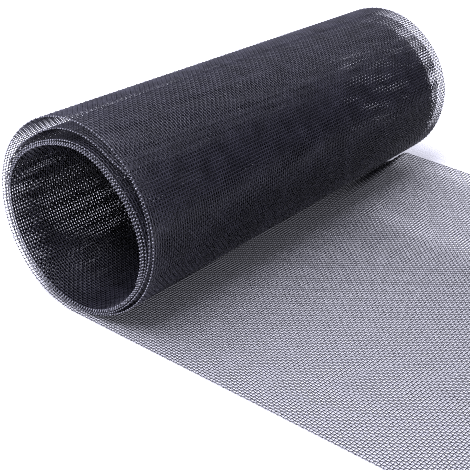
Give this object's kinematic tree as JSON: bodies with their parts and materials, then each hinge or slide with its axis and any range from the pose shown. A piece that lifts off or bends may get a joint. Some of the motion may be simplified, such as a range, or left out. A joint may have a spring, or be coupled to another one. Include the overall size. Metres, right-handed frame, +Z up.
{
  "type": "roll of woven wire mesh",
  "caption": "Loose open roll of dark woven wire screen, its free end unrolled flat in front of it.",
  "frame": {"origin": "on the floor under the middle of the piece's box", "axes": "+X along the roll, from its nearer and wider end to its far end; -Y the way the free end lies; +Z up"},
  "size_m": [0.308, 0.297, 0.1115],
  "materials": {
    "wire": "charcoal coated wire, satin"
  },
  "bodies": {
    "root": {"wire_mesh_roll": "wire"}
  },
  "joints": []
}
